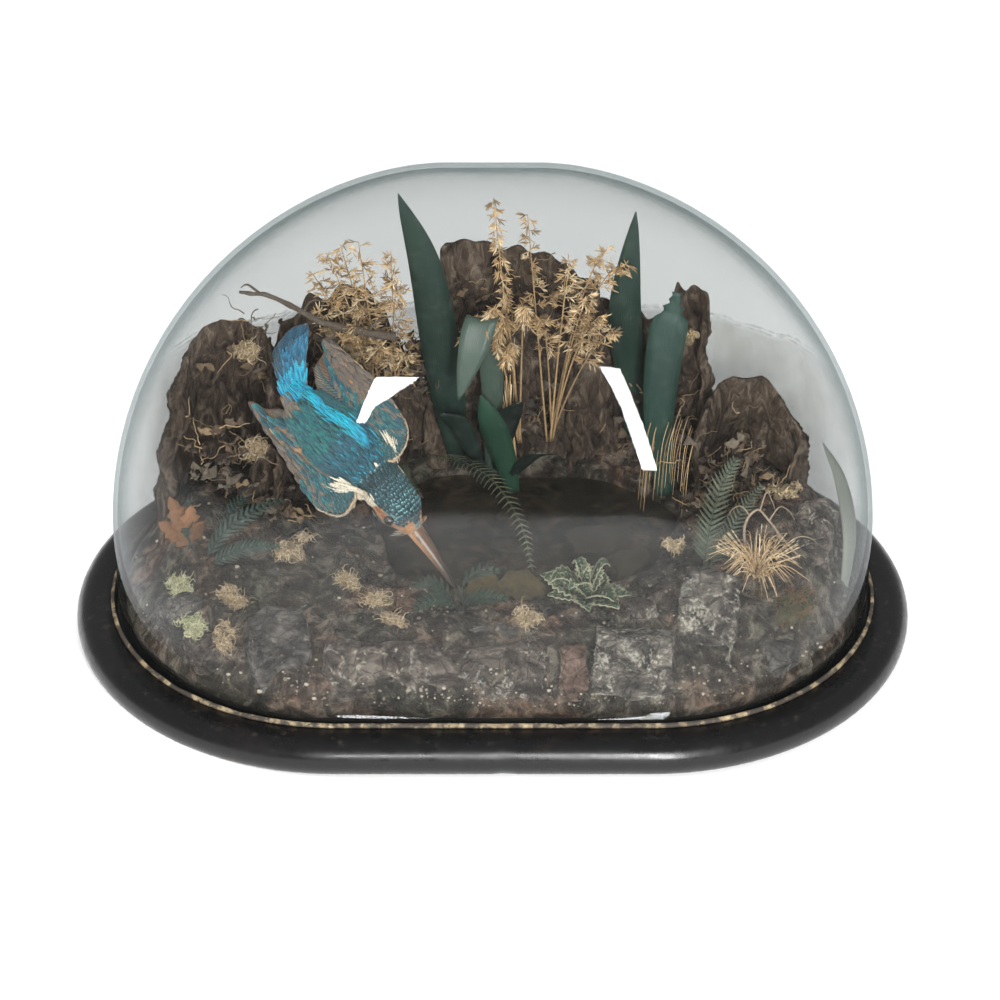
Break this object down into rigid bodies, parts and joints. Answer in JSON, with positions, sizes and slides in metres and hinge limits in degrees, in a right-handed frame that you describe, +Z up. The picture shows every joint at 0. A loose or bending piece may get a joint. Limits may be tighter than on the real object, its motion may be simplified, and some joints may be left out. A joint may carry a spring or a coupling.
{
  "type": "taxidermy kingfisher under an oval glass dome",
  "caption": "Mounted kingfisher diving at a small glass pond, with rocks, bark, ferns and dry grasses, under an oval glass dome on a black plinth.",
  "frame": {"origin": "middle of the plinth's underside, on the surface the case stands on", "axes": "+X along the case to the viewer's right, +Y to the back of the case, +Z up; the bird's bill points down and towards +X"},
  "size_m": [0.4196, 0.2696, 0.25],
  "materials": {
    "ebonised_wood": "worn black polish",
    "gilt_paper": "faded and broken",
    "dome_glass": "clear, dusty inside",
    "pond_glass": "dark and dusty",
    "groundwork": "matte, earthy",
    "rock": "matte",
    "bark": "rough cork bark",
    "lichen": "matte, curly",
    "moss": "matte, dry",
    "green_leaf": "satin",
    "dry_grass": "matte, dry",
    "fern": "matte",
    "rosette_leaf": "matte, speckled",
    "rust_leaf": "matte",
    "mount_wire": "dull",
    "plumage": "iridescent blue-green feathers",
    "bill_horn": "satin horn",
    "eye_glass": "polished",
    "leg_skin": "dry, scaled"
  },
  "bodies": {
    "root": {"bark_arch": "bark", "bark_curl": "bark", "bark_post": "bark", "bark_right": "bark", "bark_stump": "bark", "bill_lower": "bill_horn", "bill_upper": "bill_horn", "blade_bent": "green_leaf", "blade_far": "green_leaf", "blade_left": "green_leaf", "blade_low": "green_leaf", "blade_right": "green_leaf", "blade_torn": "green_leaf", "block_tall": "rock", "block_white": "rock", "dome_glass": "dome_glass", "eye_left": "eye_glass", "eye_right": "eye_glass", "fern_centre": "fern", "fern_left": "fern", "fern_right": "fern", "foot_strip": "gilt_paper", "grass_centre": "dry_grass", "grass_left": "dry_grass", "grass_right": "dry_grass", "grass_tuft": "dry_grass", "ground_bed": "groundwork", "head": "plumage", "leaf_spray": "green_leaf", "ledge_moss": "moss", "leg_left": "leg_skin", "leg_right": "leg_skin", "lichen_bank": "lichen", "lichen_centre": "lichen", "lichen_curl": "lichen", "lichen_front": "lichen", "lichen_left": "lichen", "lichen_pond": "lichen", "lichen_shore": "lichen", "moss_right": "moss", "mount_wire": "mount_wire", "neck": "plumage", "plinth": "ebonised_wood", "pond_pane": "pond_glass", "root_curl": "dry_grass", "rosette": "rosette_leaf", "rust_leaf": "rust_leaf", "slab_front": "rock", "slab_left": "rock", "slab_right": "rock", "stone_red": "rock", "stone_small": "rock", "straw_bundle": "dry_grass", "tail": "plumage", "trunk": "plumage", "twig": "bark", "wing_left": "plumage", "wing_right": "plumage"}
  },
  "joints": []
}
